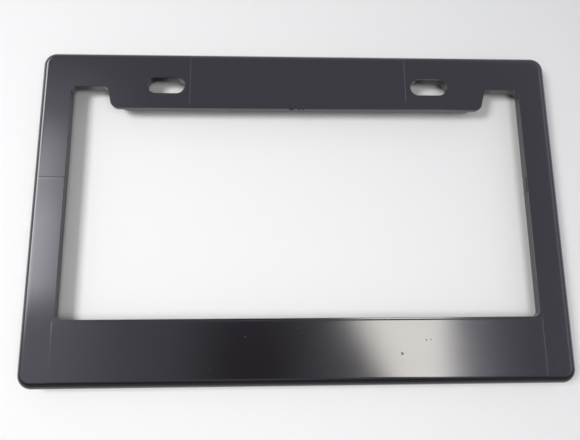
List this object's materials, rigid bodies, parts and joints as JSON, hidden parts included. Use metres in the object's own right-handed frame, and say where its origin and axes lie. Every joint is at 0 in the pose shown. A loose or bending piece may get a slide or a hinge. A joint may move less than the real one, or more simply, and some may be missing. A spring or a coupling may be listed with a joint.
{
  "type": "number plate holder",
  "caption": "One-piece moulded plastic frame for a motorcycle number plate, with a deep rim, a large window under a stepped tab and slotted bolt holes through the tab",
  "frame": {"origin": "centre of the frame's outline, on the plane of the rear rim on which it lies", "axes": "X across the frame, Y toward the top edge with the slotted tab, Z out of the front face"},
  "size_m": [0.23, 0.147, 0.0122],
  "materials": {
    "black_plastic": "glossy black moulded plastic with faint flow marks"
  },
  "bodies": {
    "root": {"plate_frame": "black_plastic"}
  },
  "joints": []
}
